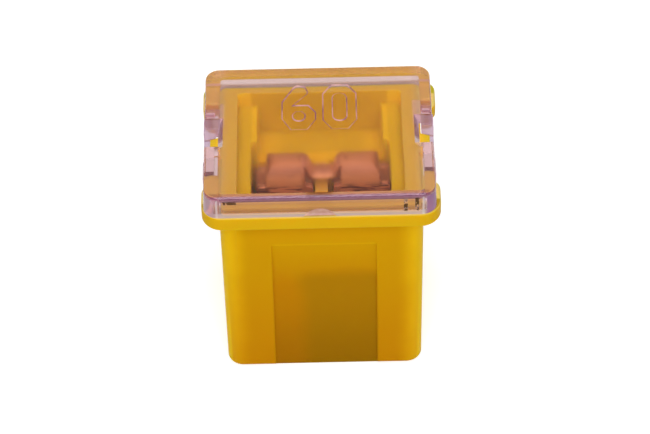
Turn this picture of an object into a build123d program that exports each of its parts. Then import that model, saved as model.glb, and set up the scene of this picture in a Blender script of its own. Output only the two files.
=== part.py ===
from build123d import *
from math import asin, cos, hypot, radians, sin, tan
import os

# Low-profile box cartridge fuse: a moulded housing, a clear lid with snap legs and a
# one-piece stamped element. Millimetres, +Z up. The origin is the middle of the
# housing's underside, X runs along its longer side, and the blades enter from below.

# ---- housing: outside ------------------------------------------------------
BODY_WIDTH = 12.88          # under the flange
BODY_DEPTH = 10.6
BODY_HEIGHT = 13.43         # underside to the flange
BODY_CORNER = 1.1
BODY_DRAFT = 0.35           # degrees, narrower towards the underside
BASE_ROUND = 0.3

FLANGE_WIDTH = 15.0
FLANGE_FRONT = 6.05         # from the body's middle plane
FLANGE_BACK = 6.25
FLANGE_THICKNESS = 1.16
FLANGE_FRONT_CORNER = 1.35
FLANGE_BACK_CORNER = 0.8
FLANGE_EDGE_ROUND = 0.2
SIDE_GAP_LENGTH = 6.4       # break in the flange at each short side
SIDE_GAP_SHIFT = 0.3        # its middle, towards the back
TAB_END_ROUND = 0.75

PANEL_WIDTH = 6.65          # shallow panels on the two long faces
PANEL_SHIFT = 0.12
PANEL_DEPTH = 0.14
PANEL_TOP_MARGIN = 2.13     # below the flange

# ---- housing: inside -------------------------------------------------------
COLLAR_HEIGHT = 0.31        # rim that enters the lid
COLLAR_WIDTH = 12.5
COLLAR_DEPTH = 10.26
MOUTH_WIDTH = 10.5          # opening inside the collar
MOUTH_DEPTH = 9.2
MOUTH_CORNER = 0.25
RAIL_TOP = 13.85            # ledge at each short side of the chamber
RAIL_REAR_X = 4.03          # where the chamber narrows behind the terminals
RAIL_STEP_Y = 1.2
SHELF_TOP = 11.55           # chamber's floor, round the two cells
SHELF_THICKNESS = 1.0
CELL_OUTER_X = 4.4
CELL_DEPTH = 3.5
CELL_WALL = 0.8             # between a cell and the pockets before and behind it
DIVIDER_THICKNESS = 0.8
FLOOR_THICKNESS = 1.2

SIDE_CORE_X = 5.3           # pocket that thins each side rail, open underneath
SIDE_CORE_THICKNESS = 0.7
SIDE_CORE_LENGTH = 7.4
SIDE_CORE_TOP = 12.75
LONG_CORE_WIDTH = 8.4       # pocket inside each long face, open underneath
LONG_CORE_OUTER_Y = 4.5
CORE_CORNER = 0.2

# ---- snap catch ------------------------------------------------------------
CATCH_LENGTH = 2.2
CATCH_TIP_X = 7.0
CATCH_BOTTOM = 14.3
CATCH_TIP_TOP = 14.55
CATCH_TOP = 14.75           # where its slope meets the body's line
CATCH_ROOT = 0.3            # how far the wedge is rooted in the collar

# ---- lid -------------------------------------------------------------------
LID_WIDTH = 14.56           # at the flange
LID_DEPTH = 12.06
LID_HEIGHT = 1.66
LID_CORNER = 0.95
LID_DRAFT = 2.2             # degrees, narrower towards the top
LID_EDGE_ROUND = 0.18
LID_TOP_THICKNESS = 0.8
LID_INNER_WIDTH = 12.85     # at the flange
LID_INNER_DEPTH = 10.56
LID_INNER_CORNER = 0.25
LID_CORE_SHIFT_X = 0.13     # the inside sits a little off the outside's middle
LID_CORE_SHIFT_Y = 0.09
LID_SET_X = -0.07           # the lid sits to one side of its play

LEG_LENGTH = 5.4            # snap leg in the flange's side gap
LEG_THICKNESS = 0.74
LEG_PROUD = 0.06            # how far it stands out from the skirt
LEG_DROP = 0.92             # below the flange's top face
WINDOW_LENGTH = 2.6
WINDOW_INNER_X = 6.38       # at the top plate's underside
WINDOW_TOP_INNER_X = 6.05   # at the lid's top, so that the wall slopes
WINDOW_SKIRT_X = 6.2        # inside the skirt, which is cut right through
LEG_BAR_TOP = 14.25         # bar that hooks under the catch
LEG_ROOT = 0.3              # how far the leg is rooted in the skirt

GATE_RADIUS = 1.12          # round gate mark, cut off by the front skirt's lower edge
GATE_DROP = 0.47            # its centre below that edge
GATE_DEPTH = 0.2

# ---- element ---------------------------------------------------------------
SHEET = 0.4
TERMINAL_X = 2.35           # from the element's middle to each crest
LEAF_INNER = 1.7            # leaf's edges, from the crest's middle
LEAF_OUTER = 1.87
CREST_WIDTH = 2.4
ELEMENT_SET_X = 0.12        # the element sits to one side of its play
CREST_CENTRE_Z = 12.58      # fold's centre line
CREST_RADIUS = 0.8          # to the middle of the sheet
SHOULDER_TOP = 11.95
SHOULDER_ROUND = 0.25
LEAF_FOOT_ROUND = 0.4
NECK_ROUND = 0.2
CREST_OUTER_ROUND = 0.9
CREST_INNER_ROUND = 0.6
LEAF_STRAIGHT_END = 10.0
CONTACT_Z = 4.2
CONTACT_HALF_GAP = 0.38     # the leaves meet a 0.8 mm blade here
MOUTH_FLARE_Y = 1.2
LEAF_BEND_RADIUS = 2.0
LEAF_TRIM = 0.5             # length of strip cut off below the feet

LINK_WIDTH = 1.25
LINK_DIP = 0.95
LINK_FLAT_HALF = 0.72
LINK_RAMP = 0.3
LINK_BEND_RADIUS = 0.4
LINK_OVERLAP = 0.25         # length of the link inside each crest

# ---- blades that the fuse takes ---------------------------------------------
BLADE_WIDTH = 2.8
BLADE_THICKNESS = 0.8
SLOT_CLEARANCE = 0.3        # each side
SLOT_LEAD_IN = 0.35

# ---- worked out --------------------------------------------------------------
FLANGE_TOP = BODY_HEIGHT + FLANGE_THICKNESS
COLLAR_TOP = FLANGE_TOP + COLLAR_HEIGHT
LID_TOP = FLANGE_TOP + LID_HEIGHT
CREST_TOP = CREST_CENTRE_Z + CREST_RADIUS + SHEET / 2
TOUCH = 1e-4
OVERCUT = 1.0               # how far a cut runs past the solid
ROOT = 0.1                  # how far a rib or bump is rooted in its wall
SIDES = (-1, 1)


def rounded_block(width, depth, corner, bottom, top, draft=0.0):
    """Upright block whose plan is a rounded rectangle, full size at the bottom."""
    plan = RectangleRounded(width, depth, corner)
    return Pos(0, 0, bottom) * extrude(plan, amount=top - bottom, taper=draft)


def centred_box(width, depth, bottom, top, x=0.0, y=0.0):
    """Upright box centred on x, y."""
    return Pos(x, y, (bottom + top) / 2) * Box(width, depth, top - bottom)


def prism_along_y(outline, length):
    """Solid from an outline in the XZ plane, centred on y = 0."""
    face = Plane.XZ * make_face(Polyline(*outline, close=True))
    return extrude(face, amount=length / 2, both=True)


def prism_along_x(outline, length):
    """Solid from an outline in the YZ plane, centred on x = 0."""
    face = Plane.YZ * make_face(Polyline(*outline, close=True))
    return extrude(face, amount=length / 2, both=True)


def round_corners(face, corners, radius):
    """Round the face's corners that lie at the given points."""
    def at_corner(vertex):
        return any(hypot(vertex.X - x, vertex.Y - y) < TOUCH for x, y in corners)

    return fillet(face.vertices().filter_by(at_corner), radius)


# ---- housing ---------------------------------------------------------------
def body_block():
    """Drafted box under the flange, rounded round its underside."""
    plan = Pos(0, 0, BODY_HEIGHT) * RectangleRounded(BODY_WIDTH, BODY_DEPTH, BODY_CORNER)
    block = extrude(plan, amount=BODY_HEIGHT, dir=(0, 0, -1), taper=BODY_DRAFT)
    underside = block.faces().sort_by(Axis.Z)[0]
    return fillet(underside.edges(), BASE_ROUND)


def side_gap(side):
    """Break in the flange, with a round at the end of each tab beside it."""
    root_x = BODY_WIDTH / 2
    reach = FLANGE_WIDTH / 2 - root_x
    gap = Pos(root_x + reach, SIDE_GAP_SHIFT) * Rectangle(2 * reach, SIDE_GAP_LENGTH)
    tip_x = FLANGE_WIDTH / 2
    for end in SIDES:
        corner_y = SIDE_GAP_SHIFT + end * SIDE_GAP_LENGTH / 2
        relief = Pos(tip_x - TAB_END_ROUND / 2, corner_y + end * TAB_END_ROUND / 2)
        square = relief * Rectangle(TAB_END_ROUND, TAB_END_ROUND)
        round_end = Pos(tip_x - TAB_END_ROUND, corner_y + end * TAB_END_ROUND) * Circle(TAB_END_ROUND)
        gap += square - round_end
    return gap if side > 0 else mirror(gap, about=Plane.YZ)


def flange():
    """Plate round the top of the body, broken at both short sides."""
    depth = FLANGE_FRONT + FLANGE_BACK
    plan = Pos(0, (FLANGE_BACK - FLANGE_FRONT) / 2) * Rectangle(FLANGE_WIDTH, depth)
    front_corners = [(side * FLANGE_WIDTH / 2, -FLANGE_FRONT) for side in SIDES]
    back_corners = [(side * FLANGE_WIDTH / 2, FLANGE_BACK) for side in SIDES]
    plan = round_corners(plan, front_corners, FLANGE_FRONT_CORNER)
    plan = round_corners(plan, back_corners, FLANGE_BACK_CORNER)
    for side in SIDES:
        plan -= side_gap(side)
    plate = Pos(0, 0, BODY_HEIGHT) * extrude(plan, amount=FLANGE_THICKNESS)
    rim = plate.edges().filter_by(Plane.XY)
    inner_x = BODY_WIDTH / 2 + TOUCH
    outer_rim = [e for e in rim if abs(e.center().X) > inner_x or abs(e.center().Y) > BODY_DEPTH / 2]
    return fillet(outer_rim, FLANGE_EDGE_ROUND)


def snap_catch(side):
    """Wedge on the short side that the lid's leg hooks under."""
    root_x = COLLAR_WIDTH / 2 - CATCH_ROOT
    outline = [
        (root_x, CATCH_BOTTOM),
        (CATCH_TIP_X, CATCH_BOTTOM),
        (CATCH_TIP_X, CATCH_TIP_TOP),
        (BODY_WIDTH / 2, CATCH_TOP),
        (root_x, CATCH_TOP),
    ]
    wedge = prism_along_y(outline, CATCH_LENGTH)
    return wedge if side > 0 else mirror(wedge, about=Plane.YZ)


def long_face_panel(side):
    """Tool for the shallow panel, parallel to the drafted long face."""
    top_z = BODY_HEIGHT - PANEL_TOP_MARGIN
    bottom_z = -OVERCUT
    face_top = BODY_DEPTH / 2 - PANEL_TOP_MARGIN * tan(radians(BODY_DRAFT))
    face_bottom = BODY_DEPTH / 2 - (BODY_HEIGHT - bottom_z) * tan(radians(BODY_DRAFT))
    outline = [
        (side * (face_top - PANEL_DEPTH), top_z),
        (side * (face_bottom - PANEL_DEPTH), bottom_z),
        (side * BODY_DEPTH, bottom_z),
        (side * BODY_DEPTH, top_z),
    ]
    return Pos(PANEL_SHIFT, 0, 0) * prism_along_x(outline, PANEL_WIDTH)


def chamber():
    """Open space above the shelf, narrower behind the terminals."""
    top = COLLAR_TOP + OVERCUT
    space = rounded_block(MOUTH_WIDTH, MOUTH_DEPTH, MOUTH_CORNER, RAIL_TOP, top)
    space += rounded_block(2 * RAIL_REAR_X, MOUTH_DEPTH, MOUTH_CORNER, SHELF_TOP, top)
    front_length = MOUTH_DEPTH / 2 + RAIL_STEP_Y
    front = rounded_block(2 * CELL_OUTER_X, front_length, MOUTH_CORNER, SHELF_TOP, top)
    return space + Pos(0, RAIL_STEP_Y - front_length / 2, 0) * front


def cell(side):
    """One terminal's cell, from the floor to the shelf."""
    inner_x = DIVIDER_THICKNESS / 2
    width = CELL_OUTER_X - inner_x
    block = rounded_block(width, CELL_DEPTH, MOUTH_CORNER, FLOOR_THICKNESS, SHELF_TOP + ROOT)
    return Pos(side * (inner_x + width / 2), 0, 0) * block


def long_core(face):
    """Pocket inside a long face, up to the shelf."""
    inner_y = CELL_DEPTH / 2 + CELL_WALL
    depth = LONG_CORE_OUTER_Y - inner_y
    top = SHELF_TOP - SHELF_THICKNESS
    pocket = rounded_block(LONG_CORE_WIDTH, depth, CORE_CORNER, -OVERCUT, top)
    return Pos(0, face * (inner_y + depth / 2), 0) * pocket


def side_core(side):
    """Pocket inside a side rail."""
    pocket = rounded_block(SIDE_CORE_THICKNESS, SIDE_CORE_LENGTH, CORE_CORNER, -OVERCUT, SIDE_CORE_TOP)
    return Pos(side * SIDE_CORE_X, 0, 0) * pocket


def blade_slot(side):
    """Slot through the floor, with a lead-in on the underside."""
    width = BLADE_WIDTH + 2 * SLOT_CLEARANCE
    depth = BLADE_THICKNESS + 2 * SLOT_CLEARANCE
    centre = Pos(side * TERMINAL_X, 0, 0)
    slot = centre * centred_box(width, depth, -OVERCUT, FLOOR_THICKNESS + OVERCUT)
    mouth = Rectangle(width + 2 * SLOT_LEAD_IN, depth + 2 * SLOT_LEAD_IN)
    lead_in = loft([mouth, Pos(0, 0, SLOT_LEAD_IN) * Rectangle(width, depth)])
    return slot + centre * lead_in


def housing():
    body = body_block() + flange()
    body += rounded_block(COLLAR_WIDTH, COLLAR_DEPTH, LID_INNER_CORNER, BODY_HEIGHT, COLLAR_TOP)
    for side in SIDES:
        body += snap_catch(side)
        body -= long_face_panel(side)
    body -= chamber()
    for side in SIDES:
        body -= cell(side)
        body -= blade_slot(side)
        body -= side_core(side)
        body -= long_core(side)
    return body


# ---- lid ---------------------------------------------------------------------
def lid_leg(side):
    """Snap leg below the skirt, in the flange's side gap."""
    outer_x = LID_WIDTH / 2 + LEG_PROUD
    bottom = FLANGE_TOP - LEG_DROP
    top = FLANGE_TOP + LEG_ROOT
    leg = centred_box(LEG_THICKNESS, LEG_LENGTH, bottom, top, outer_x - LEG_THICKNESS / 2)
    foot = leg.edges().filter_by(Axis.X).group_by(Axis.Z)[0]
    leg = fillet(foot, LEG_THICKNESS / 2)
    return leg if side > 0 else mirror(leg, about=Plane.YZ)


def window(side):
    """Tool for the window that the catch shows in, open at the top."""
    roof = LID_TOP - LID_TOP_THICKNESS
    top = LID_TOP + OVERCUT
    slope = (WINDOW_INNER_X - WINDOW_TOP_INNER_X) / LID_TOP_THICKNESS
    outline = [
        (WINDOW_SKIRT_X, LEG_BAR_TOP),
        (WINDOW_SKIRT_X, roof),
        (WINDOW_INNER_X, roof),
        (WINDOW_TOP_INNER_X - slope * OVERCUT, top),
        (LID_WIDTH, top),
        (LID_WIDTH, LEG_BAR_TOP),
    ]
    tool = prism_along_y(outline, WINDOW_LENGTH)
    return tool if side > 0 else mirror(tool, about=Plane.YZ)


def lid():
    outside = rounded_block(LID_WIDTH, LID_DEPTH, LID_CORNER, FLANGE_TOP, LID_TOP, LID_DRAFT)
    top_face = outside.faces().sort_by(Axis.Z)[-1]
    outside = fillet(top_face.edges(), LID_EDGE_ROUND)
    for side in SIDES:
        outside += lid_leg(side)
    roof = LID_TOP - LID_TOP_THICKNESS
    inside = rounded_block(
        LID_INNER_WIDTH, LID_INNER_DEPTH, LID_INNER_CORNER, FLANGE_TOP, roof, LID_DRAFT)
    cover = outside - Pos(LID_CORE_SHIFT_X, LID_CORE_SHIFT_Y, 0) * inside
    for side in SIDES:
        cover -= window(side)
    gate = Plane.XZ * Pos(0, FLANGE_TOP - GATE_DROP) * Circle(GATE_RADIUS)
    gate_tool = extrude(gate, amount=LID_DEPTH)
    gate_tool &= centred_box(4 * GATE_RADIUS, GATE_DEPTH * 2, 0, 2 * LID_TOP, 0, -LID_DEPTH / 2)
    cover -= gate_tool
    return Pos(LID_SET_X, 0, 0) * cover


# ---- element -------------------------------------------------------------------
def folded_strip():
    """Sheet folded over the crest into two leaves that close on the blade and flare."""
    contact_y = CONTACT_HALF_GAP + SHEET / 2
    leaf = [
        (MOUTH_FLARE_Y, FLOOR_THICKNESS - LEAF_TRIM),
        (contact_y, CONTACT_Z),
        (CREST_RADIUS, LEAF_STRAIGHT_END),
        (CREST_RADIUS, CREST_CENTRE_Z),
    ]
    rise = FilletPolyline(*leaf, radius=LEAF_BEND_RADIUS)
    fall = mirror(rise, about=Plane.YZ)
    crest = ThreePointArc(
        (CREST_RADIUS, CREST_CENTRE_Z),
        (0, CREST_CENTRE_Z + CREST_RADIUS),
        (-CREST_RADIUS, CREST_CENTRE_Z),
    )
    path = Plane.YZ * Wire(rise.edges() + crest.edges() + fall.edges())
    section = Plane(origin=path @ 0, z_dir=path % 0, x_dir=(1, 0, 0)) * Rectangle(2 * LEAF_OUTER, SHEET)
    return sweep(section, path)


def terminal_outline():
    """Front view of the right-hand terminal: leaves, rounded shoulders and a narrower crest."""
    neck = CREST_WIDTH / 2
    feet = [(-LEAF_INNER, FLOOR_THICKNESS), (LEAF_OUTER, FLOOR_THICKNESS)]
    shoulders = [(LEAF_OUTER, SHOULDER_TOP), (-LEAF_INNER, SHOULDER_TOP)]
    necks = [(neck, SHOULDER_TOP), (-neck, SHOULDER_TOP)]
    outer_top = (neck, CREST_TOP)
    inner_top = (-neck, CREST_TOP)
    face = make_face(Polyline(
        *feet, shoulders[0], necks[0], outer_top, inner_top, necks[1], shoulders[1], close=True))
    face = round_corners(face, feet, LEAF_FOOT_ROUND)
    face = round_corners(face, shoulders, SHOULDER_ROUND)
    face = round_corners(face, necks, NECK_ROUND)
    face = round_corners(face, [inner_top], CREST_INNER_ROUND)
    return round_corners(face, [outer_top], CREST_OUTER_ROUND)


def terminal():
    """The right-hand female terminal, centred on x = 0 and standing on the housing's floor."""
    front = extrude(Plane.XZ * terminal_outline(), amount=MOUTH_FLARE_Y * 2, both=True)
    return folded_strip() & front


def fusible_link():
    """Narrow strip between the crests, dipped in the middle."""
    half_angle = asin(LINK_WIDTH / 2 / (CREST_RADIUS + SHEET / 2))
    inner = CREST_RADIUS - SHEET / 2
    outer = CREST_RADIUS + SHEET / 2
    end_x = TERMINAL_X - CREST_WIDTH / 2 + LINK_OVERLAP
    centre_z = CREST_CENTRE_Z

    def point(radius, angle):
        return (radius * sin(angle), centre_z + radius * cos(angle))

    section = make_face([
        ThreePointArc(point(outer, -half_angle), point(outer, 0), point(outer, half_angle)),
        Line(point(outer, half_angle), point(inner, half_angle)),
        ThreePointArc(point(inner, half_angle), point(inner, 0), point(inner, -half_angle)),
        Line(point(inner, -half_angle), point(outer, -half_angle)),
    ])
    section = Pos(-end_x, 0, 0) * (Plane.YZ * section)
    high = centre_z + CREST_RADIUS
    low = high - LINK_DIP
    ramp_top = LINK_FLAT_HALF + LINK_RAMP
    route = FilletPolyline(
        (-end_x, high), (-ramp_top, high), (-LINK_FLAT_HALF, low),
        (LINK_FLAT_HALF, low), (ramp_top, high), (end_x, high),
        radius=LINK_BEND_RADIUS,
    )
    return sweep(section, Plane.XZ * route)


def fuse_element():
    right = Pos(TERMINAL_X, 0, 0) * terminal()
    element = right + mirror(right, about=Plane.YZ) + fusible_link()
    return Pos(ELEMENT_SET_X, 0, 0) * element


def main():
    os.makedirs("parts", exist_ok=True)
    for name, piece in (
        ("housing", housing()),
        ("cover", lid()),
        ("fuse_element", fuse_element()),
    ):
        export_step(piece, f"parts/{name}.step")


main()
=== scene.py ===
from math import cos, pi, radians, sin

import bmesh
import bpy
from mathutils import Matrix, Vector


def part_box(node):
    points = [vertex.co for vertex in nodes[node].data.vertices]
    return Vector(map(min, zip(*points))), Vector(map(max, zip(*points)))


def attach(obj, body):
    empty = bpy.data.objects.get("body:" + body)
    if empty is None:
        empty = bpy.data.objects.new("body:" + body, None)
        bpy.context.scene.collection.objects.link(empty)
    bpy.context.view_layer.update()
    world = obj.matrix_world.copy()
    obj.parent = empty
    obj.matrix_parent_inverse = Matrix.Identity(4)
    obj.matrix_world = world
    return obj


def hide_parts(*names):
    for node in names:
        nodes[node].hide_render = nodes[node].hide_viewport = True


# A yellow box cartridge fuse with a clear lid, on a white table under soft boxes.
# The scene is in metres. Sizes are written in millimetres, unless they say otherwise, and
# colours are linear.
# +Z is up, and the front, with the gate mark, looks towards -Y.

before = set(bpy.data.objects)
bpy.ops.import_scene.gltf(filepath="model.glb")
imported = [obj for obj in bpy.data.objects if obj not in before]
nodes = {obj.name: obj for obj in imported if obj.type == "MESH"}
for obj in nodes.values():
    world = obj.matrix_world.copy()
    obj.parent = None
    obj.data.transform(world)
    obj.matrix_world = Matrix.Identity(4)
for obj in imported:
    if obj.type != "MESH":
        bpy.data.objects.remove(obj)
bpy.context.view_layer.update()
MM = 0.001

# ---- camera --------------------------------------------------------------------------
VIEW_ELEVATION = 44.975         # degrees above the table
VIEW_TURN = -0.175              # degrees from straight in front
VIEW_ROLL = -1.381              # degrees
VIEW_DISTANCE = 189.19 * MM
VIEW_AIM = Vector((0.21, 0.0, 8.499)) * MM
LENS = 161.14
SENSOR = 36.0
CLIP_START = 0.01               # metres
CLIP_END = 20.0

# ---- studio (metres and watts) -------------------------------------------------------
LAMP_AIM = (0, 0, 0.01)
KEY_PLACE = (0.0, -0.30, 0.31)
KEY_SIZE = 0.30
KEY_POWER = 1.3
OVERHEAD_PLACE = (0.0, 0.02, 0.38)
OVERHEAD_SIZE = 0.22
OVERHEAD_POWER = 0.45
ROOM_LIGHT = 0.2                # of white, for the light that falls on the fuse
ROOM_MIRRORED = 0.42            # of white, where the lid's walls mirror the room
ROOM_WHITE = 1.0
TABLE_HALF = 3.0
TABLE_GREY = 0.82
TABLE_LIFT = 0.5                # glow that makes the lit table show as white

# ---- mesh work -----------------------------------------------------------------------
MERGE = 0.0005 * MM
FLAT_ANGLE = radians(0.5)
CREASE_ANGLE = radians(35)
HOUSING_EDGE = 0.06 * MM        # rounding of the fine edges
ELEMENT_EDGE = 0.15 * MM

# ---- lid and its number --------------------------------------------------------------
LID_AIR_GAP = 0.015 * MM        # between the skirt and the flange it stands on
LID_HEIGHT = 1.66 * MM          # from the flange to the lid's top
DIGIT_WIDTH = 2.2
DIGIT_HEIGHT = 4.18
DIGIT_SPACE = 0.40
DIGIT_BASE_Y = 0.09             # foot of the number, from the middle of the lid
CUT_X = 0.56                    # corners cut off each digit
CUT_Y = 0.86
STROKE = 0.68
COUNTER_HEIGHT = 2.5            # the opening in the zero
BOWL_TOP = 2.3                  # the six's round part, and the tip of its arm
ARM_TIP_X = 1.72
ARM_TIP_Y = 3.5
HOLE_RADIUS = 0.36              # the opening in the six
HOLE_BOTTOM = 0.86
HOLE_TOP = 1.68
ROUND_STEPS = 8
ENGRAVING_DEPTH = 0.05
ENGRAVING_SLOPE = 0.18          # how far the engraved walls slope inwards
TOP_SKIN = 0.001                # what is nearer to the lid's top than this is the top itself
NEAR = 0.01                     # tolerance on a vertex or a face
FLAT_NORMAL = 0.99              # faces flatter than this do not slope
GATE_REACH = 1.2                # half width of the gate mark
GATE_FLOOR_Y = -5.83
GATE_FILL = 0.13                # the mark is almost level with the skirt
GATE_FRONT_Y = -5.995
GATE_BACK_Y = -5.75
GATE_LOW = 0.95                 # the mark begins this far below the lid's top
NUMBER_SLOT = 1
GATE_SLOT = 2

# ---- where the housing changes colour ------------------------------------------------
FLANGE_UNDERSIDE = 13.43
CORNER_X = 5.55                 # the long faces begin to turn their corners, where painted light brightens them
LONG_FACE_Y = 4.925
PANEL_TOP = 11.3
PANEL_HALF = 3.325
PANEL_MIDDLE = 0.12
PANEL_LIP = 0.06                # half height of the painted highlight along the panel's top
PANEL_DUSK = 9.95               # painted shade: the panel is a little deeper in colour below this
# painted shade of the dark metal that stands behind the panel, seen through the wall
METAL_TOP = 8.4                 # the dark metal behind the panel ends here,
METAL_DEEP = 8.0                # and grows deeper from here to the foot
METAL_SHADE_TOP = 8.6
METAL_SHADE_X = -1.4            # it is darker to the right of this
CHAMBER_HALF_X = 5.275
CHAMBER_HALF_Y = 4.65
CHAMBER_LOW = 10.5              # the walls take the chamber's painted light above this
CHEEK_NORMAL = 0.75             # how squarely the rails' cheeks face sideways
SHELF_INNER_X = 2.8             # chamber's floor, beside the cells
SHELF_OUTER_X = 4.35
SHELF_BACK_Y = 4.4
RAIL_X = 4.4                    # ledges at the short sides of the chamber
RAIL_END_Y = 4.5
RAIL_END_Z = 13.7
CELL_HALF_X = 4.55              # the two cells that hold the leaves
CELL_HALF_Y = 2.55
CELL_MOUTH = 11.6
CELL_FLOOR = 1.15
DIVIDER_HALF_X = 0.55
DIVIDER_MIDDLE = 10.8
DIVIDER_REACH = 1.05            # half height of its upper part, in painted shade under the link
DIVIDER_BACK_Y = 1.6
UPWARD_NORMAL = 0.55
FLANGE_LEVEL = 14.1             # upward faces above this are the flange and the collar, with a painted sheen
FLANGE_TOP = 14.53              # just below the flange's top face
COVERED_TOP = 14.675            # just above it
COVERED_HALF_X = 7.1            # the part of the flange that the lid covers
COVERED_HALF_Y = 5.9
COLLAR_LEVEL = 14.725           # the rim that enters the lid stands above this
TAB_X = 7.225                   # ends of the flange, at the short sides
CATCH_X = 6.35                  # snap catches that hold the lid's legs
CATCH_HALF_Y = 2.2
FRONT_SEAM_Y = -4.675           # painted shade on the front and back edges, seen through the skirt
BACK_SEAM_Y = 5.05

# ---- where the element changes colour ------------------------------------------------
CREST_TOP = 13.35               # top of the folded heads
CREST_SHOULDER = 12.9
LEAF_TOP = 12.05                # the leaves go down from here
LINK_HALF_X = 1.2               # fusible link between the heads
LINK_FLAT_X = 0.55
FLANK_HALF_X = 1.8              # sides of the heads that face the link, lifted by painted light
FLANK_LOW = 12.15
FLANK_NORMAL = 0.65
LEAF_GAP_HALF_Y = 0.63          # inner faces of the leaves, lifted by painted light
LEAF_GAP_TOP = 12.5

# ---- where the lid changes tint ------------------------------------------------------
LID_MIDDLE = -0.07
LID_CORNER = 6.42               # from the lid's middle to where its front turns the corner
LID_CORNER_Y = -5.2
LID_CORNER_TOP = 16.075
SKIRT_TOP = 15.35               # where the lid's skirt leaves its top
SKIRT_BACK_Y = 4.9
SKIRT_FRONT_Y = -5.775
SKIRT_FRONT_MIDDLE = 15.7
SKIRT_FOOT = 14.98              # upper edge of the painted highlight, a pale strip along its foot
BRINK = 16.03                   # the front's upper edge
POLISHED_Y = -4.5               # smoother in front of this
LEG_HALF_Y = 3.25
GLINT_HALF = 0.07               # painted glint, a bright line down each front corner
GLINT_TOP = 16.05
DARK_PATCH_X = -5.65                 # dark patch, left on the front skirt
DARK_PATCH_HALF_X = 0.45
DARK_PATCH_Z = 15.82
DARK_PATCH_HALF_Z = 0.14
BARS_X = 5.6                    # two dark bars, right on the front skirt
BARS_APART = 0.35
BAR_HALF_X = 0.15
BAR_Z = 15.45
BAR_HALF_Z = 0.575
BACK_SKIRT_Y = 5.33             # inner wall of the back skirt
BACK_SKIRT_HALF = 0.125
BACK_SKIRT_TOP = 15.025
NOTCH_X = 6.0                   # rear part of each side's window, and the leg behind it
NOTCH_Y = 1.9
NOTCH_HALF_Y = 1.15
NOTCH_TOP = 16.15
SIDE_HAZE_X = 6.1               # the short sides are a little hazy beyond this


# ---- shader writing ------------------------------------------------------------------
class Wire:
    """An output socket that takes part in Python arithmetic."""

    def __init__(self, finish, socket):
        self.finish = finish
        self.socket = socket

    def out(self, name):
        return Wire(self.finish, self.socket.node.outputs[name])

    def maths(self, operation, *values):
        settings = {"operation": operation}
        return self.finish.node("ShaderNodeMath", settings, dict(enumerate(values)))

    def at_least(self, other):
        """The greater of the two."""
        return self.maths("MAXIMUM", self, other)

    def __add__(self, other):
        return self.maths("ADD", self, other)

    def __sub__(self, other):
        return self.maths("SUBTRACT", self, other)

    def __mul__(self, other):
        return self.maths("MULTIPLY", self, other)

    def __truediv__(self, other):
        return self.maths("DIVIDE", self, other)

    def __rsub__(self, other):
        return self.maths("SUBTRACT", other, self)

    def __lt__(self, other):
        return self.maths("LESS_THAN", self, other)

    def __gt__(self, other):
        return self.maths("GREATER_THAN", self, other)

    def __abs__(self):
        return self.maths("ABSOLUTE", self)

    __radd__ = __add__
    __rmul__ = __mul__


class Finish:
    """A node tree under construction, for a material or the world."""

    def __init__(self, owner):
        owner.use_nodes = True
        self.owner = owner
        self.tree = owner.node_tree
        self.tree.nodes.clear()

    def node(self, kind, settings=None, sockets=None):
        """Adds a node, with its settings first and then the values or wires of its inputs."""
        made = self.tree.nodes.new(kind)
        for name, value in (settings or {}).items():
            setattr(made, name, value)
        for name, value in (sockets or {}).items():
            if isinstance(value, Wire):
                self.tree.links.new(value.socket, made.inputs[name])
            else:
                made.inputs[name].default_value = value
        return Wire(self, made.outputs[0]) if made.outputs else None

    def over(self, value, edge, fade):
        """0 below the edge and 1 above it, with a smooth fade centred on the edge."""
        sockets = {0: value, 1: edge - fade / 2, 2: edge + fade / 2}
        return self.node("ShaderNodeMapRange", {"interpolation_type": "SMOOTHSTEP"}, sockets)

    def under(self, value, edge, fade):
        """1 below the edge and 0 above it."""
        return 1 - self.over(value, edge, fade)

    def within(self, value, half, fade):
        """1 where the value is nearer to zero than half, on either side."""
        return self.under(abs(value), half, fade)

    def blend(self, factor, first, second):
        """One colour fading into another."""
        sockets = {0: factor, 6: first, 7: second}
        return self.node("ShaderNodeMix", {"data_type": "RGBA"}, sockets).out(2)

    def noise(self, place, scale, detail=2.0, roughness=0.5):
        sockets = {"Vector": place, "Scale": scale, "Detail": detail, "Roughness": roughness}
        return self.node("ShaderNodeTexNoise", {}, sockets)

    def bump(self, height, strength, distance):
        sockets = {"Strength": strength, "Distance": distance, "Height": height}
        return self.node("ShaderNodeBump", {}, sockets)

    def place(self):
        """Object coordinates, in metres."""
        return self.node("ShaderNodeTexCoord").out("Object")

    def parts(self, vector):
        """The three parts of a vector."""
        split = self.node("ShaderNodeSeparateXYZ", {}, {0: vector})
        return [split.out(name) for name in "XYZ"]

    def normal(self):
        """The direction that the surface faces."""
        return self.node("ShaderNodeNewGeometry").out("Normal")

    def mixed(self, factor, first, second):
        """One shader fading into another."""
        return self.node("ShaderNodeMixShader", {}, {0: factor, 1: first, 2: second})

    def plain_sight(self):
        """1 for a ray that has met nothing but glass or gloss since the camera."""
        rays = self.node("ShaderNodeLightPath")
        direct = rays.out("Is Camera Ray") + rays.out("Is Glossy Ray")
        return (direct + rays.out("Is Transmission Ray")) * (rays.out("Diffuse Depth") < 0.5)

    def surface(self, shader, volume=None):
        sockets = {"Surface": shader}
        if volume:
            sockets["Volume"] = volume
        self.node("ShaderNodeOutputMaterial", {}, sockets)
        return self.owner


def new_finish(name):
    return Finish(bpy.data.materials.new(name))


def grey(level):
    return (level, level, level, 1.0)


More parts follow.
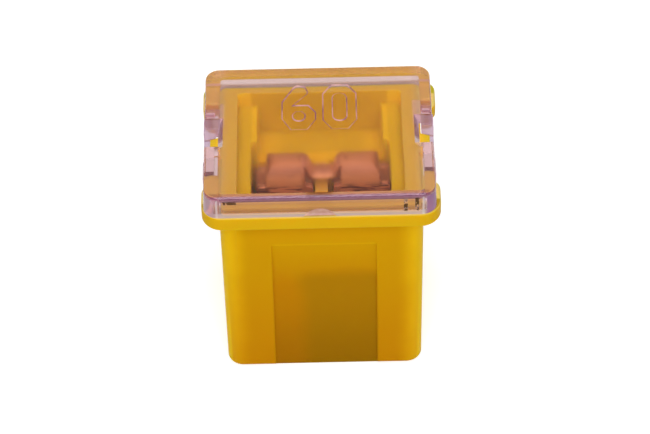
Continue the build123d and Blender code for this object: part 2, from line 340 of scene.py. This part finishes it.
# ---- yellow housing ------------------------------------------------------------------
WALL_MIDDLE = (0.64, 0.33, 0.0005, 1)
# painted light at the corners, and painted shade towards the foot
WALL_CORNER_LIT = (0.91, 0.55, 0.004, 1)
WALL_FOOT_SHADE = (0.50, 0.13, 0.0005, 1)
RIM = (0.70, 0.42, 0.006, 1)
# painted shade in the panels, of the dark metal behind them
PANEL_UPPER_SHADE = (0.57, 0.26, 0.0005, 1)
PANEL_HIGHLIGHT = (0.84, 0.50, 0.006, 1)
METAL_SHADE_AMBER = (0.54, 0.22, 0.0005, 1)
METAL_SHADE_AMBER_FOOT = (0.40, 0.16, 0.0005, 1)
METAL_SHADE_OLIVE = (0.44, 0.206, 0.001, 1)
METAL_SHADE_OLIVE_FOOT = (0.34, 0.154, 0.0005, 1)
# painted light inside the chamber, for the light that glows through the translucent walls
CHAMBER_WALL_LIT = (0.64, 0.465, 0.0008, 1)
CHAMBER_SHELF_LIT = (0.76, 0.54, 0.0008, 1)
RAIL_END_LIT = (0.80, 0.60, 0.001, 1)
RAIL_CHEEK_LIT = (0.95, 0.66, 0.001, 1)
CELL_WALL_LIT = (1.0, 0.60, 0.001, 1)
# painted shade under the link
DIVIDER_SHADE = (0.84, 0.49, 0.06, 1)
# painted sheen on the upward faces of the flange, its tabs and the collar
TAB_ROOT_SHEEN = (0.70, 0.57, 0.12, 1)
TAB_END_SHEEN = (0.82, 0.62, 0.17, 1)
COLLAR_SHEEN = (0.63, 0.45, 0.034, 1)
COVERED_SHEEN = (0.68, 0.58, 0.05, 1)
CATCH = (0.92, 0.53, 0.008, 1)
# painted shade on the flange and collar under the lid's front and back skirts
FRONT_FLANGE_SHADE = (0.44, 0.27, 0.002, 1)
FRONT_COLLAR_SHADE = (0.50, 0.33, 0.002, 1)
BACK_FLANGE_SHADE = (0.52, 0.45, 0.01, 1)


def outer_walls(f, x, y, z, drift):
    """Painted shade deeper towards the foot and in the panels, where dark metal stands behind;
    painted light at the corners.
    """
    corner = f.over(abs(x) + drift * 0.8, CORNER_X, fade=1.9)
    colour = f.blend(corner, WALL_MIDDLE, WALL_CORNER_LIT)
    rim = f.over(z, FLANGE_UNDERSIDE + 0.05, fade=0.3)
    colour = f.blend(rim, colour, RIM)

    outside = f.over(abs(y), LONG_FACE_Y, fade=0.15) * f.under(z, FLANGE_UNDERSIDE + 0.1, fade=0.2)
    across = x - PANEL_MIDDLE
    panel = f.within(across, PANEL_HALF, fade=0.3) * outside
    # painted shade, deeper towards the foot, with painted light kept at the right corners
    foot_shade = f.under(z, FLANGE_UNDERSIDE / 2, fade=FLANGE_UNDERSIDE) * outside
    lit_corner = corner * f.over(x, 0.0, fade=4.0) * 0.14
    colour = f.blend(foot_shade * (0.42 - lit_corner), colour, WALL_FOOT_SHADE)

    # painted shade in the panel, from the dark metal behind the wall
    upper_shade = f.under(z + drift * 0.6, PANEL_DUSK, fade=2.1)
    colour = f.blend(panel * upper_shade * 0.6, colour, PANEL_UPPER_SHADE)
    metal = f.under(z + drift * 1.0, METAL_TOP, fade=2.0)
    amber = f.blend(f.under(z, METAL_DEEP / 2, fade=METAL_DEEP), METAL_SHADE_AMBER, METAL_SHADE_AMBER_FOOT)
    colour = f.blend(panel * metal, colour, amber)
    shade = f.over(across + drift * 1.0, METAL_SHADE_X, fade=1.6)
    shade = shade * f.under(z + drift * 0.6, METAL_SHADE_TOP, fade=1.4)
    olive = f.blend(f.under(z, METAL_DEEP / 2, fade=METAL_DEEP), METAL_SHADE_OLIVE, METAL_SHADE_OLIVE_FOOT)
    colour = f.blend(panel * shade, colour, olive)
    # painted highlight along the panel's top edge
    lip_highlight = f.within(z - PANEL_TOP - PANEL_LIP, PANEL_LIP, fade=0.08)
    lip_highlight = lip_highlight * f.within(across, PANEL_HALF - 0.1, fade=0.4)
    return f.blend(lip_highlight * outside * 0.25, colour, PANEL_HIGHLIGHT)


def chamber(f, x, y, z, side_on, colour):
    """The walls, shelf, cells and divider inside the collar, with painted light and painted shade
    under the link.
    """
    inside = f.within(x, CHAMBER_HALF_X, fade=0.15) * f.within(y, CHAMBER_HALF_Y, fade=0.1)
    inside = inside * f.over(z, CHAMBER_LOW, fade=3.0)
    shelf = f.over(abs(x), SHELF_INNER_X, fade=1.6) * f.within(x, SHELF_OUTER_X, fade=0.1)
    shelf = shelf * f.under(y, SHELF_BACK_Y, fade=0.2)
    colour = f.blend(inside, colour, f.blend(shelf, CHAMBER_WALL_LIT, CHAMBER_SHELF_LIT))
    ends = inside * f.over(abs(x), RAIL_X, fade=0.2) * f.over(y, RAIL_END_Y, fade=0.1)
    colour = f.blend(ends * f.over(z, RAIL_END_Z, fade=0.4), colour, RAIL_END_LIT)

    # painted light deep in the cells and on the rails' cheeks, where they lie in shade
    cell = f.within(x, CELL_HALF_X, fade=0.1) * f.within(y, CELL_HALF_Y, fade=0.1)
    cell = cell * f.under(z, CELL_MOUTH, fade=1.2) * f.over(z, CELL_FLOOR, fade=0.3)
    colour = f.blend(cell, colour, CELL_WALL_LIT)
    colour = f.blend(inside * f.over(side_on, CHEEK_NORMAL, fade=0.3), colour, RAIL_CHEEK_LIT)
    # painted shade on the divider, under the link
    divider = f.within(x, DIVIDER_HALF_X, fade=0.1) * f.within(y, CELL_HALF_Y, fade=0.1)
    divider = divider * f.within(z - DIVIDER_MIDDLE, DIVIDER_REACH, fade=0.3)
    return f.blend(divider * f.under(y, DIVIDER_BACK_Y, fade=0.2), colour, DIVIDER_SHADE)


def under_the_lid(f, x, y, z, upward, colour):
    """The flange, its tabs, the collar and the catches: painted sheen on upward faces, painted
    shade under the skirts.
    """
    # painted sheen on the upward faces
    collar = f.over(z, COLLAR_LEVEL, fade=0.15)
    tabs = f.blend(f.over(abs(x), TAB_X, fade=0.15), TAB_ROOT_SHEEN, TAB_END_SHEEN)
    colour = f.blend(upward, colour, f.blend(collar, tabs, COLLAR_SHEEN))
    covered = f.within(x, COVERED_HALF_X, fade=0.1) * f.within(y, COVERED_HALF_Y, fade=0.1)
    covered = covered * f.under(z, COVERED_TOP, fade=0.05)
    colour = f.blend(upward * covered, colour, COVERED_SHEEN)
    catch = f.over(abs(x), CATCH_X, fade=0.1) * f.within(y, CATCH_HALF_Y, fade=0.4)
    colour = f.blend(catch, colour, CATCH)

    # painted shade where the lid's skirts cover the flange and collar
    under_skirt_shade = f.over(z, FLANGE_TOP, fade=0.06)
    front = f.blend(collar, FRONT_FLANGE_SHADE, FRONT_COLLAR_SHADE)
    colour = f.blend(under_skirt_shade * f.under(y, FRONT_SEAM_Y, fade=0.15), colour, front)
    return f.blend(under_skirt_shade * f.over(y, BACK_SEAM_Y, fade=0.1), colour, BACK_FLANGE_SHADE)


def yellow_plastic():
    """Satin yellow moulding, slightly translucent."""
    f = new_finish("yellow_moulding")
    place = f.place()
    x, y, z = (part / MM for part in f.parts(place))
    drift = f.noise(place, scale=260.0, detail=3.0) - 0.5
    facing = f.parts(f.normal())
    upward = f.over(facing[2], UPWARD_NORMAL, fade=0.7) * f.over(z, FLANGE_LEVEL, fade=0.4)
    colour = outer_walls(f, x, y, z, drift)
    colour = chamber(f, x, y, z, abs(facing[0]), colour)
    colour = under_the_lid(f, x, y, z, upward, colour)
    grain = f.noise(place, scale=5200.0)
    return f.surface(f.node("ShaderNodeBsdfPrincipled", {}, {
        "Base Color": colour,
        "Roughness": 0.42 + drift * 0.12,
        "IOR": 1.5,
        "Specular IOR Level": 0.02,
        "Coat Weight": upward,
        "Coat Roughness": 0.42,
        "Subsurface Weight": 0.5,
        "Subsurface Radius": (1.0, 0.6, 0.05),
        "Subsurface Scale": 1.5 * MM,
        "Normal": f.bump(grain, strength=0.12, distance=0.02 * MM),
    }))


# ---- copper element ------------------------------------------------------------------
# random mottle, with painted light brighter towards the right
COPPER_MOTTLE_SHADED = (0.36, 0.145, 0.056, 1)
COPPER_MOTTLE_LIT = (0.47, 0.20, 0.078, 1)
COPPER_CREST = (0.52, 0.22, 0.07, 1)
# painted light on the shoulders, painted shade in streaks down the leaves
COPPER_SHOULDER_LIT = (0.72, 0.36, 0.17, 1)
STREAK_SHADE = (0.12, 0.035, 0.015, 1)
STREAK_LIT = (0.72, 0.30, 0.14, 1)
LINK_FLAT = (0.43, 0.175, 0.07, 1)
# painted light on the link's ramps, the heads' shaded flanks and the gap between the leaves
LINK_RAMP_LIT = (0.47, 0.19, 0.08, 1)
COPPER_FLANK_LIT = (0.66, 0.30, 0.135, 1)
COPPER_GAP_LIT = (0.95, 0.50, 0.22, 1)


def copper():
    """Stamped copper: matte folded heads, browner and streaked with painted shade where the leaves
    go down.
    """
    f = new_finish("stamped_copper")
    place = f.place()
    x, y, z = (part / MM for part in f.parts(place))
    cloud = f.noise(place, scale=700.0, detail=4.0, roughness=0.6)
    drift = cloud - 0.5
    stretch = f.node("ShaderNodeMapping", {}, {"Vector": place, "Scale": (0.12, 1.0, 1.0)})
    streaks = f.noise(stretch, scale=5200.0, detail=3.0, roughness=0.7)

    # random mottle, and painted light brighter towards the right
    mottle_and_light = cloud + f.over(x, 0.0, fade=4.0) * 0.3
    colour = f.blend(f.over(mottle_and_light, 0.65, fade=0.5), COPPER_MOTTLE_SHADED, COPPER_MOTTLE_LIT)
    colour = f.blend(f.over(z, CREST_TOP, fade=0.3), colour, COPPER_CREST)
    # painted light on the shoulders below the crests, which lie in shade
    colour = f.blend(f.under(z, CREST_SHOULDER, fade=0.6), colour, COPPER_SHOULDER_LIT)
    # painted shade in streaks where the leaves go down into the cells
    streaked = f.blend(f.over(streaks, 0.5, fade=0.14), STREAK_SHADE, STREAK_LIT)
    colour = f.blend(f.under(z + drift * 0.6, LEAF_TOP, fade=0.7), colour, streaked)

    # painted light on the link's ramps
    link = f.blend(f.over(abs(x), LINK_FLAT_X, fade=0.5), LINK_FLAT, LINK_RAMP_LIT)
    colour = f.blend(f.within(x, LINK_HALF_X, fade=0.2), colour, link)
    # painted light on the heads' shaded flanks and between the leaves
    side_on = abs(f.parts(f.normal())[0])
    lit_flank = f.over(side_on, FLANK_NORMAL, fade=0.3) * f.within(x, FLANK_HALF_X, fade=0.2)
    colour = f.blend(lit_flank * f.over(z, FLANK_LOW, fade=0.3), colour, COPPER_FLANK_LIT)
    between = f.within(y, LEAF_GAP_HALF_Y, fade=0.06) * f.under(z, LEAF_GAP_TOP, fade=0.2)
    colour = f.blend(between, colour, COPPER_GAP_LIT)
    return f.surface(f.node("ShaderNodeBsdfPrincipled", {}, {
        "Base Color": colour,
        "Metallic": 0.2,
        "Roughness": 0.55 + drift * 0.2,
        "Normal": f.bump(streaks, strength=0.2, distance=0.01 * MM),
    }))


# ---- clear lid -----------------------------------------------------------------------
GLASS = (0.87, 0.84, 0.84, 1)
# darker tints in the skirt, legs and lower front: painted shade on what shows through them
GLASS_SKIRT_SHADE = (0.74, 0.70, 0.70, 1)
LEG_LEFT_SHADE = (0.57, 0.52, 0.60, 1)
LEG_RIGHT_SHADE = (0.61, 0.57, 0.66, 1)
FRONT_AMBER_SHADE = (0.85, 0.69, 0.25, 1)
FRONT_LILAC = (0.72, 0.52, 0.85, 1)
HAZE_AND_HIGHLIGHT = (0.78, 0.64, 0.66, 1)
HAZE_VIOLET = (0.36, 0.18, 0.42, 1)
HAZE_NOTCH = (0.68, 0.54, 0.72, 1)
GLINT_PAINT = (0.92, 0.86, 0.88, 1)
DARK_SPECK = (0.04, 0.02, 0.008, 1)
LET_THROUGH = (0.98, 0.94, 0.97, 1)
TRAPPED = (0.75, 0.43, 0.46, 1)
DEEP_TINT = (0.85, 0.43, 0.38, 1)
TINT_DENSITY = 300.0
NUMBER_DEEP = (0.30, 0.12, 0.18, 1)
NUMBER_PALE = (0.70, 0.38, 0.36, 1)
NUMBER_CLEARNESS = 0.12
GATE_DEEP = (0.76, 0.37, 0.24, 1)
GATE_PALE = (0.93, 0.55, 0.40, 1)
GATE_CLEARNESS = 0.45


def lid_glass(f, place, x, y, z, front):
    """The clear moulding itself, its skirt and legs darker in tint as painted shade on what shows
    through.
    """
    skirt = f.under(z, SKIRT_TOP, fade=0.2)
    legs = f.blend(f.over(x, 0.0, fade=2.0), LEG_LEFT_SHADE, LEG_RIGHT_SHADE)
    skirt_tint_shade = f.blend(f.within(y, LEG_HALF_Y, fade=0.7), GLASS_SKIRT_SHADE, legs)
    tint = f.blend(skirt * f.under(y, SKIRT_BACK_Y, fade=0.6), GLASS, skirt_tint_shade)
    facade = f.blend(f.over(z, SKIRT_FRONT_MIDDLE, fade=0.2), FRONT_AMBER_SHADE, FRONT_LILAC)
    smoothness = (skirt * 0.05).at_least(f.under(y, POLISHED_Y, fade=0.6) * 0.11)
    waves = f.noise(place, scale=160.0, detail=1.0)
    return f.node("ShaderNodeBsdfPrincipled", {}, {
        "Base Color": f.blend(front, tint, facade),
        "Roughness": 0.13 - smoothness,
        "IOR": 1.58,
        "Transmission Weight": 1.0,
        "Normal": f.bump(waves, strength=0.03, distance=0.05 * MM),
    })


def lid_specks(f, place, x, z, front):
    """Dark marks at both ends of the front skirt."""
    speckle = f.noise(place, scale=3600.0, detail=3.0, roughness=0.7) * front
    dark_patch = f.within(x - DARK_PATCH_X, DARK_PATCH_HALF_X, fade=0.2)
    dark_patch = dark_patch * f.within(z - DARK_PATCH_Z, DARK_PATCH_HALF_Z, fade=0.12)
    bars = f.within(abs(x - BARS_X) - BARS_APART, BAR_HALF_X, fade=0.1)
    bars = bars * f.within(z - BAR_Z, BAR_HALF_Z, fade=0.15)
    return f.over(speckle * (dark_patch * 1.25 + bars), 0.44, fade=0.12)


def clear_lilac():
    """Polished clear moulding with a lilac tint that deepens through its edges."""
    f = new_finish("clear_lid")
    place = f.place()
    x, y, z = (part / MM for part in f.parts(place))
    front = f.under(y, SKIRT_FRONT_Y, fade=0.15)
    glass = lid_glass(f, place, x, y, z, front)

    reach = abs(x - LID_MIDDLE)
    rightwards = f.over(x, 0.0, fade=2.0)
    corner = f.over(reach, LID_CORNER + 0.15, fade=0.3) * f.under(y, LID_CORNER_Y, fade=0.4)
    corner = corner * f.under(z, LID_CORNER_TOP, fade=0.15)
    # painted highlight: a pale strip along the skirt's foot
    foot = f.under(z, SKIRT_FOOT, fade=0.1) * front
    # painted glint down each front corner
    glint = front * f.within(reach - LID_CORNER, GLINT_HALF, fade=0.08)
    glint = glint * f.under(z, GLINT_TOP, fade=0.1)
    specks = lid_specks(f, place, x, z, front)
    back = f.within(y - BACK_SKIRT_Y, BACK_SKIRT_HALF, fade=0.05)
    back = back * f.under(z, BACK_SKIRT_TOP, fade=0.15)
    notch = f.over(reach, NOTCH_X, fade=0.2) * f.within(y - NOTCH_Y, NOTCH_HALF_Y, fade=0.3)
    notch = notch * f.under(z, NOTCH_TOP, fade=0.1)
    brink = front * f.over(z, BRINK, fade=0.1)

    violet = (corner * (0.35 + rightwards * 0.65)).at_least(brink)
    haze_and_highlight = f.blend(violet, HAZE_AND_HIGHLIGHT, HAZE_VIOLET)
    haze_and_highlight = f.blend(notch, haze_and_highlight, HAZE_NOTCH)
    haze_and_highlight = f.blend(glint, haze_and_highlight, GLINT_PAINT)
    haze_and_highlight = f.node("ShaderNodeBsdfDiffuse", {}, {"Color": f.blend(specks, haze_and_highlight, DARK_SPECK)})

    # how much haze, painted highlight and painted glint cover the clear glass
    haze_and_highlight_amount = f.over(abs(x), SIDE_HAZE_X, fade=1.0) * 0.07 + foot * 0.35
    corners = corner * (0.40 + rightwards * 0.12)
    for veil in (corners, glint * 0.4, specks * 0.85, back * 0.4, notch * 0.3 + brink * 0.2):
        haze_and_highlight_amount = haze_and_highlight_amount.at_least(veil)

    thin = f.node("ShaderNodeBsdfTransparent", {}, {"Color": LET_THROUGH})
    trapped = f.node("ShaderNodeBsdfTransparent", {}, {"Color": TRAPPED})
    rays = f.node("ShaderNodeLightPath")
    seen = f.mixed(rays.out("Glossy Depth") > 2.5, f.mixed(haze_and_highlight_amount, glass, haze_and_highlight), trapped)
    shader = f.mixed(rays.out("Is Shadow Ray"), seen, thin)
    sockets = {"Color": DEEP_TINT, "Density": TINT_DENSITY}
    return f.surface(shader, f.node("ShaderNodeVolumeAbsorption", {}, sockets))


def frosted(name, deep, pale, clearness):
    """Frosted faces of the lid, which gather the tint of the moulding."""
    f = new_finish(name)
    cloud = f.noise(f.place(), scale=900.0, detail=3.0, roughness=0.6)
    return f.surface(f.node("ShaderNodeBsdfPrincipled", {}, {
        "Base Color": f.blend(f.over(cloud, 0.5, fade=0.24), deep, pale),
        "Roughness": 0.3 + cloud * 0.2,
        "IOR": 1.45,
        "Alpha": 1.0 - clearness,
    }))


# ---- table ---------------------------------------------------------------------------
def white_table():
    """Pale table that shows as white, with the fuse's own shadow on it."""
    f = new_finish("white_table")
    card = f.node("ShaderNodeBsdfDiffuse", {}, {"Color": grey(TABLE_GREY)})
    glow = f.node("ShaderNodeEmission", {}, {"Color": grey(1.0), "Strength": TABLE_LIFT})
    lift = f.node("ShaderNodeAddShader", {}, {0: card, 1: glow})
    return f.surface(f.mixed(f.plain_sight(), card, lift))


# ---- shapes --------------------------------------------------------------------------
def linked(name, data):
    """A new object in the scene."""
    made = bpy.data.objects.new(name, data)
    bpy.context.scene.collection.objects.link(made)
    return made


def merged_copy(node, name):
    """The node's solid as one joined mesh, without the lines that divide its flat faces."""
    shape = bmesh.new()
    shape.from_mesh(nodes[node].data)
    bmesh.ops.remove_doubles(shape, verts=shape.verts, dist=MERGE)
    bmesh.ops.dissolve_limit(
        shape, angle_limit=FLAT_ANGLE, verts=shape.verts, edges=shape.edges,
        use_dissolve_boundaries=False)
    mesh = bpy.data.meshes.new(name)
    shape.to_mesh(mesh)
    shape.free()
    return linked(name, mesh)


def apply_modifiers(piece):
    """Puts a piece's modifiers into its mesh."""
    graph = bpy.context.evaluated_depsgraph_get()
    mesh = bpy.data.meshes.new_from_object(piece.evaluated_get(graph))
    piece.modifiers.clear()
    piece.data = mesh


def cut_corner_box(width, height, cut_x, cut_y):
    return [
        (cut_x, 0), (width - cut_x, 0), (width, cut_y), (width, height - cut_y),
        (width - cut_x, height), (cut_x, height), (0, height - cut_y), (0, cut_y),
    ]


def half_round(centre_x, centre_y, radius, start):
    """Half of a circle, turning left from the start angle."""
    angles = [start + pi * i / ROUND_STEPS for i in range(ROUND_STEPS + 1)]
    return [(centre_x + radius * cos(a), centre_y + radius * sin(a)) for a in angles]


def zero_outlines():
    middle = DIGIT_WIDTH / 2
    radius = middle - STROKE
    rise = COUNTER_HEIGHT / 2 - radius
    centre_y = DIGIT_HEIGHT / 2
    counter = half_round(middle, centre_y + rise, radius, 0)
    counter += half_round(middle, centre_y - rise, radius, pi)
    return [cut_corner_box(DIGIT_WIDTH, DIGIT_HEIGHT, CUT_X, CUT_Y), counter]


def six_outlines():
    middle = DIGIT_WIDTH / 2
    outline = [
        (CUT_X, 0), (DIGIT_WIDTH - CUT_X, 0), (DIGIT_WIDTH, CUT_Y * 1.1),
        (DIGIT_WIDTH, BOWL_TOP - CUT_Y * 0.8), (DIGIT_WIDTH - CUT_X * 0.85, BOWL_TOP),
        (STROKE * 1.15, BOWL_TOP), (ARM_TIP_X - 0.06, ARM_TIP_Y - 0.2),
        (ARM_TIP_X, ARM_TIP_Y), (ARM_TIP_X - 0.2, DIGIT_HEIGHT - 0.12),
        (STROKE * 1.5, DIGIT_HEIGHT), (STROKE * 1.15, DIGIT_HEIGHT - 0.15),
        (0, BOWL_TOP + 0.3), (0, CUT_Y * 1.2),
    ]
    hole = [
        (middle + HOLE_RADIUS, HOLE_TOP - 0.25), (middle + HOLE_RADIUS - 0.2, HOLE_TOP),
        (middle - HOLE_RADIUS + 0.2, HOLE_TOP), (middle - HOLE_RADIUS, HOLE_TOP - 0.25),
    ]
    hole += half_round(middle, HOLE_BOTTOM + HOLE_RADIUS, HOLE_RADIUS, pi)
    return [outline, hole]


def number_curve():
    """The digits of the rating as a flat curve whose walls slope."""
    curve = bpy.data.curves.new("rating_number", "CURVE")
    curve.dimensions = "2D"
    curve.fill_mode = "BOTH"
    start_x = -DIGIT_WIDTH - DIGIT_SPACE / 2
    for index, outlines in enumerate((six_outlines(), zero_outlines())):
        shift_x = start_x + index * (DIGIT_WIDTH + DIGIT_SPACE)
        for outline in outlines:
            line = curve.splines.new("POLY")
            line.points.add(len(outline) - 1)
            for point, (px, py) in zip(line.points, outline):
                point.co = ((px + shift_x) * MM, (py + DIGIT_BASE_Y) * MM, 0, 1)
            line.use_cyclic_u = True
    curve.bevel_depth = ENGRAVING_SLOPE * MM
    curve.offset = -ENGRAVING_SLOPE * MM
    return curve


def number_cutter(top_z):
    """The number as a solid, half sunk in the lid's top."""
    number = linked("rating_number", number_curve())
    graph = bpy.context.evaluated_depsgraph_get()
    mesh = bpy.data.meshes.new_from_object(number.evaluated_get(graph))
    bpy.data.objects.remove(number)
    flatten = Matrix.Diagonal((1, 1, ENGRAVING_DEPTH / ENGRAVING_SLOPE, 1))
    mesh.transform(Matrix.Translation((0, 0, top_z)) @ flatten)
    shape = bmesh.new()
    shape.from_mesh(mesh)
    bmesh.ops.remove_doubles(shape, verts=shape.verts, dist=MERGE)
    bmesh.ops.recalc_face_normals(shape, faces=shape.faces)
    shape.to_mesh(mesh)
    shape.free()
    return linked("rating_cutter", mesh)


def crease(mesh):
    """Smooth shading, with every sharp edge kept sharp."""
    shape = bmesh.new()
    shape.from_mesh(mesh)
    for face in shape.faces:
        face.smooth = True
    for edge in shape.edges:
        edge.smooth = len(edge.link_faces) == 2 and edge.calc_face_angle() < CREASE_ANGLE
    shape.to_mesh(mesh)
    shape.free()


def mark_frosted(mesh, top_z):
    """The number's sloping walls and the gate mark take their own finishes."""
    reach = DIGIT_WIDTH + DIGIT_SPACE
    for face in mesh.polygons:
        centre = face.center / MM
        depth = top_z / MM - centre.z
        in_number = abs(centre.x) < reach and 0 < centre.y < DIGIT_BASE_Y + DIGIT_HEIGHT
        in_gate = abs(centre.x) < GATE_REACH and GATE_FRONT_Y < centre.y < GATE_BACK_Y
        engraved = TOP_SKIN < depth < ENGRAVING_DEPTH + NEAR
        if in_number and engraved and abs(face.normal.z) < FLAT_NORMAL:
            face.material_index = NUMBER_SLOT
        elif in_gate and depth > GATE_LOW:
            face.material_index = GATE_SLOT


def seat_lid(mesh, top_z):
    """Lifts the skirt a hair off the flange, and fills most of the gate mark."""
    skirt_foot = top_z - LID_HEIGHT
    shape = bmesh.new()
    shape.from_mesh(mesh)
    for vertex in shape.verts:
        place = vertex.co / MM
        if abs(vertex.co.z - skirt_foot) < MERGE:
            vertex.co.z += LID_AIR_GAP
        if abs(place.x) < GATE_REACH and abs(place.y - GATE_FLOOR_Y) < NEAR:
            vertex.co.y -= GATE_FILL * MM
    shape.to_mesh(mesh)
    shape.free()


def lid():
    """The clear lid, with the rating number engraved in its top."""
    top_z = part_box("cover")[1].z
    piece = merged_copy("cover", "lid")
    seat_lid(piece.data, top_z)
    cutter = number_cutter(top_z)
    cut = piece.modifiers.new("number", "BOOLEAN")
    cut.operation = "DIFFERENCE"
    cut.solver = "EXACT"
    cut.object = cutter
    apply_modifiers(piece)
    bpy.data.objects.remove(cutter)
    crease(piece.data)
    finishes = piece.data.materials
    finishes.clear()
    finishes.append(clear_lilac())
    finishes.append(frosted("number_edge", NUMBER_DEEP, NUMBER_PALE, NUMBER_CLEARNESS))
    finishes.append(frosted("gate_mark", GATE_DEEP, GATE_PALE, GATE_CLEARNESS))
    mark_frosted(piece.data, top_z)
    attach(piece, "root")
    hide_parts("cover")


def dress(node, finish, edge):
    """Gives a carried-over piece its finish and fine rounded edges."""
    piece = nodes[node]
    for slot in piece.material_slots:
        slot.material = finish
    join = piece.modifiers.new("join", "WELD")
    join.merge_threshold = MERGE
    rounding = piece.modifiers.new("edges", "BEVEL")
    rounding.limit_method = "ANGLE"
    rounding.angle_limit = CREASE_ANGLE
    rounding.width = edge
    rounding.segments = 2
    rounding.harden_normals = False


# ---- studio --------------------------------------------------------------------------
def soft_box(name, place, size, power):
    lamp = bpy.data.lights.new(name, "AREA")
    lamp.shape = "SQUARE"
    lamp.size = size
    lamp.energy = power
    holder = linked(name, lamp)
    holder.location = place
    holder.visible_transmission = False
    aim = Vector(LAMP_AIM) - Vector(place)
    holder.rotation_euler = aim.to_track_quat("-Z", "Y").to_euler()


def table_top():
    mesh = bpy.data.meshes.new("table_top")
    half = TABLE_HALF
    corners = [(-half, -half, 0), (half, -half, 0), (half, half, 0), (-half, half, 0)]
    mesh.from_pydata(corners, [], [(0, 1, 2, 3)])
    top = linked("table_top", mesh)
    mesh.materials.append(white_table())


def room():
    """Soft light all round: white in plain sight, duller where the lid's walls mirror it."""
    world = bpy.context.scene.world or bpy.data.worlds.new("room")
    bpy.context.scene.world = world
    f = Finish(world)
    rays = f.node("ShaderNodeLightPath")
    first = f.plain_sight() * (rays.out("Glossy Depth") < 0.5)
    within = f.plain_sight() * (rays.out("Transmission Depth") > 0.5)
    light, dull, white = (
        f.node("ShaderNodeBackground", {}, {"Color": grey(1.0), "Strength": strength})
        for strength in (ROOM_LIGHT, ROOM_MIRRORED, ROOM_WHITE))
    sky = f.mixed(first, f.mixed(within, light, dull), white)
    f.node("ShaderNodeOutputWorld", {}, {"Surface": sky})


def camera():
    turn, rise, roll = radians(VIEW_TURN), radians(VIEW_ELEVATION), radians(VIEW_ROLL)
    ahead = Vector((sin(turn) * cos(rise), cos(turn) * cos(rise), -sin(rise)))
    level = Vector((cos(turn), -sin(turn), 0))
    upright = level.cross(ahead)
    right = level * cos(roll) + upright * sin(roll)
    up = upright * cos(roll) - level * sin(roll)
    data = bpy.data.cameras.new("camera")
    data.lens = LENS
    data.sensor_width = SENSOR
    data.clip_start = CLIP_START
    data.clip_end = CLIP_END
    holder = linked("camera", data)
    turned = Matrix((right, up, -ahead)).transposed().to_4x4()
    turned.translation = VIEW_AIM - ahead * VIEW_DISTANCE
    holder.matrix_world = turned
    bpy.context.scene.camera = holder


dress("housing", yellow_plastic(), HOUSING_EDGE)
dress("fuse_element", copper(), ELEMENT_EDGE)
lid()
table_top()
room()
soft_box("key", KEY_PLACE, KEY_SIZE, KEY_POWER)
soft_box("overhead", OVERHEAD_PLACE, OVERHEAD_SIZE, OVERHEAD_POWER)
camera()
bpy.context.scene.view_settings.view_transform = "Standard"
